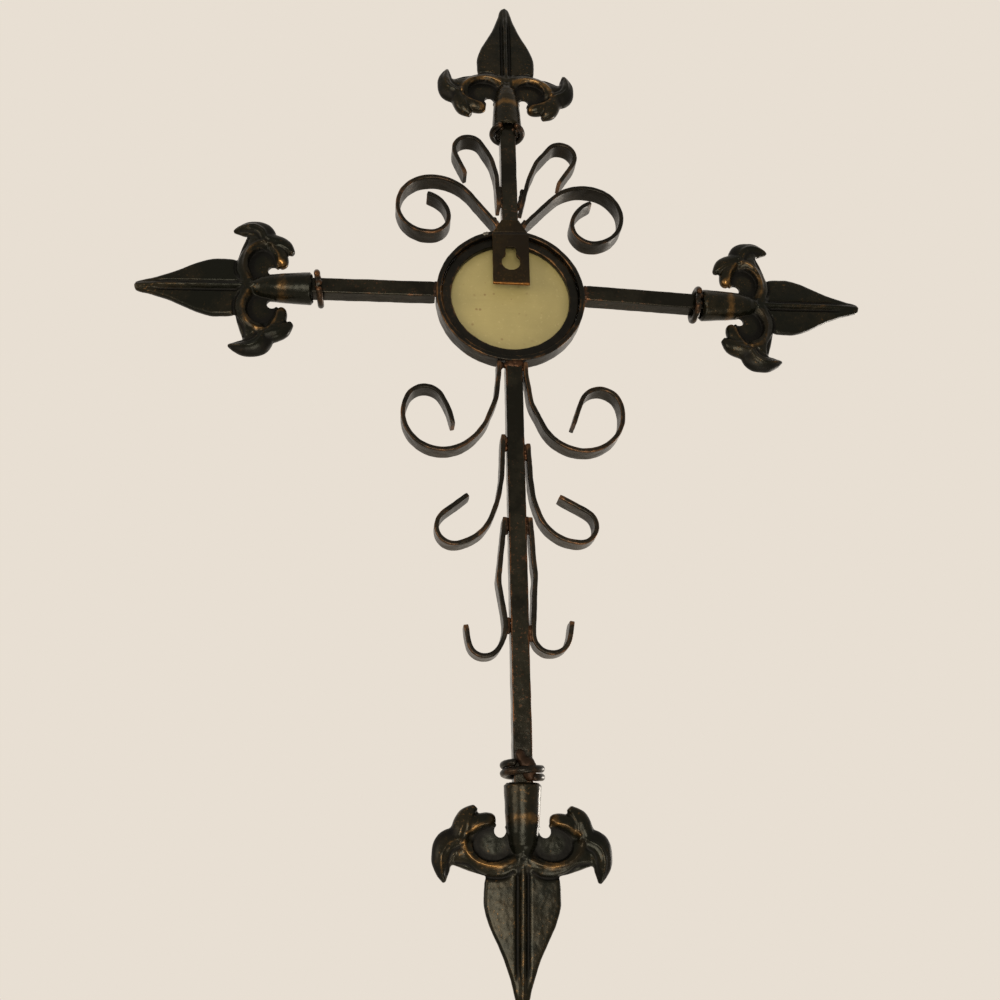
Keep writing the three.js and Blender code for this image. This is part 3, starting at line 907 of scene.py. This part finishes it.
def finial_place(side):
    """Where the pattern goes for one limb: its socket's mouth and its direction, from the solid."""
    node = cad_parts[f"finial_{side}"]
    corners = node_points(f"finial_{side}")[:, [0, 2]]
    node.data.calc_loop_triangles()
    triangles = np.array([t.vertices for t in node.data.loop_triangles])
    areas = np.array([t.area for t in node.data.loop_triangles])
    middles = corners[triangles].mean(axis=1)
    heart = (middles * areas[:, None]).sum(axis=0) / areas.sum()
    spread = (middles - heart).T @ ((middles - heart) * areas[:, None])
    axes = np.linalg.eigh(spread)[1].T
    toward = max(axes, key=lambda a: abs(a @ np.array(outward[side])))
    toward = toward * np.sign(toward @ np.array(outward[side]))
    along = corners @ toward
    across = corners @ np.array([toward[1], -toward[0]])
    mid = (across.min() + across.max()) / 2
    mouth = toward * along.min() + np.array([toward[1], -toward[0]]) * mid
    axis = Vector((toward[0], 0, toward[1]))
    sideways = Vector((0, 1, 0)).cross(axis)
    turn = Matrix((sideways, (0, 1, 0), axis)).transposed().to_4x4()
    return Matrix.Translation((mouth[0], centre.y, mouth[1])) @ turn


for side in outward:
    name = f"finial_{side}"
    piece = bpy.data.objects.new(name, finial.data.copy())
    bpy.context.scene.collection.objects.link(piece)
    piece.data.transform(finial_place(side))
    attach(piece, "root")
    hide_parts(name)
bpy.data.objects.remove(finial)


# Collars
# A ring of round wire bent round the bar at each socket's mouth, open on the wall side where a
# lump of weld holds it. The lowest is a coil of two turns, and those on the arms lean.

collar_finish = iron_finish("collar iron", tone(17, 15, 10), tone(31, 27, 20), tone(112, 74, 44), seed=13.0)
weld_finish = iron_finish(
    "weld", tone(32, 21, 12), tone(58, 36, 20), tone(112, 72, 40), rub=0.5, shine=0.42, seed=17.0
)

wire_sizes = {
    "Wire": "NodeSocketFloat",
    "Dents": "NodeSocketFloat",
    "Seed": "NodeSocketFloat",
    "Finish": "NodeSocketMaterial",
}
nodes, given, wire_keys = shape_tree("bent wire", wire_sizes)
line = nodes.add("GeometryNodeMeshToCurve", None, {"Mesh": given["Shape"]})
line = nodes.add("GeometryNodeCurveSplineType", {"spline_type": "CATMULL_ROM"}, {"Curve": line})
line = nodes.add("GeometryNodeResampleCurve", {"mode": "LENGTH"}, {"Curve": line, "Length": 0.5 * mm})
section = {"Resolution": 20, "Radius": given["Wire"] * 0.5}
section = nodes.add("GeometryNodeCurvePrimitiveCircle", None, section)
gone = nodes.add("GeometryNodeSplineParameter", None, None, output=1)
whole = nodes.add("GeometryNodeSplineLength")
from_end = (gone.least(whole - gone) / (1.2 * mm)).held()
width = 1.0 - (1.0 - from_end) * (1.0 - from_end) * 0.4
swept = {"Curve": line, "Profile Curve": section, "Scale": width, "Fill Caps": True}
swept = nodes.add("GeometryNodeCurveToMesh", None, swept)
swept = hammered(nodes, swept, given["Dents"], 3 * mm, given["Seed"])
end_tree(nodes, swept, given["Finish"])
wire_tree = nodes.tree

collar_wire = 3.2 * mm
collar_radius = 8.03 * mm
collar_opening = math.radians(50)
collar_tilt = {"top": 0, "right": 5, "bottom": 0, "left": -8}
collar_turns = {"top": 1, "right": 1, "bottom": 2, "left": 1}

# The weld that holds each collar, in millimetres: its run across, deep and along the bar, its
# size and its finish.
round_bar = [math.radians(a) for a in range(40, 321, 20)]
collar_welds = {
    "top": ([(5.0 * math.sin(a), -5.0 * math.cos(a), 0.4) for a in round_bar], 1.7, collar_finish),
    "right": ([(-2, -6.2, 0), (2, -6.2, 0)], 1.9, collar_finish),
    "bottom": ([(1.2, -4.6, -7.2), (0.2, -6.2, -4), (-1.0, -6.6, -1), (-2.2, -6.4, 2.4)], 3.0, weld_finish),
    "left": ([(-2, -6.2, 0), (2, -6.2, 0)], 1.9, collar_finish),
}

lump_sizes = {
    "Radius": "NodeSocketFloat",
    "Roughness": "NodeSocketFloat",
    "Seed": "NodeSocketInt",
    "Finish": "NodeSocketMaterial",
}
nodes, given, bead_keys = shape_tree("weld bead", lump_sizes)
line = nodes.add("GeometryNodeMeshToCurve", None, {"Mesh": given["Shape"]})
step = {"Curve": line, "Length": given["Radius"] * 0.6}
spots_along = nodes.add("GeometryNodeCurveToPoints", {"mode": "LENGTH"}, step)
ball = nodes.add("GeometryNodeMeshIcoSphere", None, {"Radius": given["Radius"], "Subdivisions": 3})
stray = {0: (-1, -1, -1), 1: (1, 1, 1), "Seed": given["Seed"]}
stray = nodes.add("FunctionNodeRandomValue", {"data_type": "FLOAT_VECTOR"}, stray)
stray = nodes.add("ShaderNodeVectorMath", {"operation": "SCALE"}, {0: stray, "Scale": given["Roughness"]})
spots_along = nodes.add("GeometryNodeSetPosition", None, {"Geometry": spots_along, "Offset": stray})
sizes = {0: (0.7, 0.6, 0.7), 1: (1.2, 0.9, 1.2), "Seed": given["Seed"]}
sizes = nodes.add("FunctionNodeRandomValue", {"data_type": "FLOAT_VECTOR"}, sizes)
balls = {"Points": spots_along, "Instance": ball, "Scale": sizes}
balls = nodes.add("GeometryNodeInstanceOnPoints", None, balls)
end_tree(nodes, balls, given["Finish"])
bead_tree = nodes.tree


def weld_bead(name, line, radius, seed, finish):
    """A run of lumps laid along a line and melted into one."""
    run = [Vector(p) for p in line]
    piece = new_piece(name, run, [(i, i + 1) for i in range(len(run) - 1)])
    values = {"Radius": radius, "Roughness": radius * 0.35, "Seed": seed, "Finish": finish}
    put_through(piece, bead_tree, bead_keys, values)
    settle(piece)
    refine(piece, radius * 0.22, 3)
    hammer(piece, radius * 0.25, radius * 1.6, float(seed), finish)
    return piece


for number, side in enumerate(outward):
    name = f"collar_{side}"
    place = finial_place(side)
    start, end = bar_line(side)
    run = end - start
    lie = Vector((run[0], 0, run[1])).normalized()
    bar_turn = Matrix((Vector((0, 1, 0)).cross(lie), (0, 1, 0), lie)).transposed()
    turns = collar_turns[side]
    rise = collar_wire * turns if turns > 1 else 0
    tilt = math.radians(collar_tilt[side])
    reach = (collar_radius + collar_wire / 2) * abs(math.sin(tilt))
    back_off = reach + (rise + collar_wire) / 2
    middle = place.translation - lie * back_off
    lean = bar_turn @ Matrix.Rotation(tilt, 3, "Y")
    sweep = 2 * math.pi * turns - collar_opening
    path = []
    for i in range(40 * turns + 1):
        turn = collar_opening / 2 + sweep * i / (40 * turns)
        along = rise * (i / (40 * turns) - 0.5)
        spot = (collar_radius * math.sin(turn), -collar_radius * math.cos(turn), along)
        path.append(middle + lean @ Vector(spot))
    wire = new_piece(name, path, [(i, i + 1) for i in range(len(path) - 1)])
    values = {"Wire": collar_wire, "Dents": 0.15 * mm, "Seed": number + 2.0, "Finish": collar_finish}
    put_through(wire, wire_tree, wire_keys, values)
    settle(wire)
    mark_stand(wire)
    run, size, finish = collar_welds[side]
    lump = weld_bead("lump", [middle + lean @ (Vector(at) * mm) for at in run], size * mm, number + 5, finish)
    with bpy.context.temp_override(active_object=wire, object=wire, selected_editable_objects=[wire, lump]):
        bpy.ops.object.join()
    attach(wire, "root")
    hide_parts(name)


# Weld beads
# Short runs of weld on the wall side, where the arms and the lower upright meet the ring, where the
# strips' feet meet the upright and where the lowest pair touches it again. They have rusted brown.

bright_finish = iron_finish(
    "bright weld", tone(70, 68, 62), tone(112, 109, 102), tone(150, 140, 126), seed=19.0
)
beads = []
for side in outward:
    start, end = bar_line(side)
    lie = (end - start) / np.hypot(*(end - start))
    across = np.array([lie[1], -lie[0]])
    if side != "top":
        a, b = start - across * 3 * mm, start + across * 3 * mm
        near = ring_low.y + 1.7 * mm
        beads.append(([(a[0], near, a[1]), (b[0], near, b[1])], 1.5 * mm, weld_finish))
for half, drop, size in ((2.2, -1.6, 2.6), (3.4, 1.6, 2.3)):
    run = [((x * half + 0.6) * mm, ring_low.y + 2.2 * mm, ring_low.z - drop * mm) for x in (-1, 0, 1)]
    beads.append((run, size * mm, weld_finish))
for name, line in scroll_lines.items():
    foot = Vector((line[0][0], 0, line[0][1]))
    onward = Vector((line[8][0], 0, line[8][1]))
    way = (onward - foot).normalized()
    inner = 1.35 * mm if foot.x < centre.x else -1.35 * mm
    a = foot + way * 1.0 * mm + Vector((inner, ring_low.y + 2.4 * mm, 0))
    finish = scroll_finish if "upper" in name else weld_finish
    length, size = (11 * mm, 1.7 * mm) if "upper_inner" in name else (6 * mm, 1.5 * mm)
    if "lower_top" in name:
        length = 2 * mm
    beads.append(([a, a + way * length], size, finish))
    if "hook" in name:
        later = line[len(line) // 3 :]
        touch = later[np.argmin(np.abs(later[:, 0] - centre.x))]
        a = Vector((touch[0] + inner, ring_low.y + 2.2 * mm, touch[1] - 2 * mm))
        beads.append(([a, a + Vector((0, 0, 4.5 * mm))], 1.7 * mm, weld_finish))

# One bright spot of fresh weld on the ring's edge, left of the plate.
spot_turn = math.radians(111)
spot_out = 36.4 * mm
bright = Vector((math.cos(spot_turn), 0, math.sin(spot_turn))) * spot_out
bright = Vector((centre.x, ring_low.y + 0.5 * mm, centre.z)) + bright
beads.append(([bright, bright + Vector((1.8 * mm, 0, 0.6 * mm))], 1.0 * mm, bright_finish))
runs = [weld_bead(f"bead {i}", *bead[:2], 31 + i, bead[2]) for i, bead in enumerate(beads)]
with bpy.context.temp_override(active_object=runs[0], object=runs[0], selected_editable_objects=runs):
    bpy.ops.object.join()
runs[0].name = "weld_beads"
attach(runs[0], "root")


# Stage
# A plain pale floor under the cross, soft light on the wall side, from below and on the room
# side, and the camera below the ring, looking up at the wall side.

scene = bpy.context.scene
world = bpy.data.worlds.new("pale room")
scene.world = world
world.use_nodes = True
world.node_tree.nodes["Background"].inputs["Color"].default_value = tone(232, 223, 211)
world.node_tree.nodes["Background"].inputs["Strength"].default_value = 1.0

plain, nodes, spot = new_finish("floor")
cloud = nodes.add("ShaderNodeTexNoise", None, {"Vector": spot, "Scale": 1.5, "Detail": 3.0})
colour = nodes.blend(cloud, tone(243, 237, 228), tone(247, 242, 233))
end_finish(nodes, {"Base Color": colour, "Roughness": 0.7})
floor_reach = 8.0
floor_height = -1.35
turns = [2 * math.pi * i / 96 for i in range(96)]
corners = [(floor_reach * math.cos(t), floor_reach * math.sin(t), floor_height) for t in turns]
floor = new_piece("floor", corners, (), [range(96)])
floor.data.materials.append(plain)


def soft_light(name, place, size, power, colour):
    light = bpy.data.lights.new(name, "AREA")
    light.size = size
    light.energy = power
    light.color = colour[:3]
    lamp = bpy.data.objects.new(name, light)
    scene.collection.objects.link(lamp)
    aim = Vector((0, 0, -0.06)) - Vector(place)
    lamp.location = place
    lamp.rotation_euler = aim.to_track_quat("-Z", "Y").to_euler()


soft_light("key", (-0.15, -1.15, -0.5), 0.55, 13.0, tone(255, 244, 228))
soft_light("side", (-1.1, -0.7, -0.2), 0.6, 8.0, tone(255, 240, 220))
soft_light("under", (0.25, -0.45, -1.15), 0.4, 5.0, tone(255, 246, 232))
soft_light("room side", (1.6, 1.2, -0.3), 0.6, 18.0, tone(255, 246, 234))

azimuth, elevation, roll = (math.radians(a) for a in (6.413, 20.013, -1.060))
ahead = Vector((math.sin(azimuth), math.cos(azimuth), 0))
look = ahead * math.cos(elevation) + Vector((0, 0, math.sin(elevation)))
level = Vector((math.cos(azimuth), -math.sin(azimuth), 0))
right = level * math.cos(roll) + level.cross(look) * math.sin(roll)
camera_data = bpy.data.cameras.new("camera")
camera_data.lens = 35.535
camera_data.sensor_width = 36
camera = bpy.data.objects.new("camera", camera_data)
scene.collection.objects.link(camera)
turn = Matrix((right, right.cross(look), -look)).transposed().to_4x4()
camera.matrix_world = Matrix.Translation((-0.05528, -0.42165, -0.29114)) @ turn
scene.camera = camera
scene.view_settings.view_transform = "Standard"
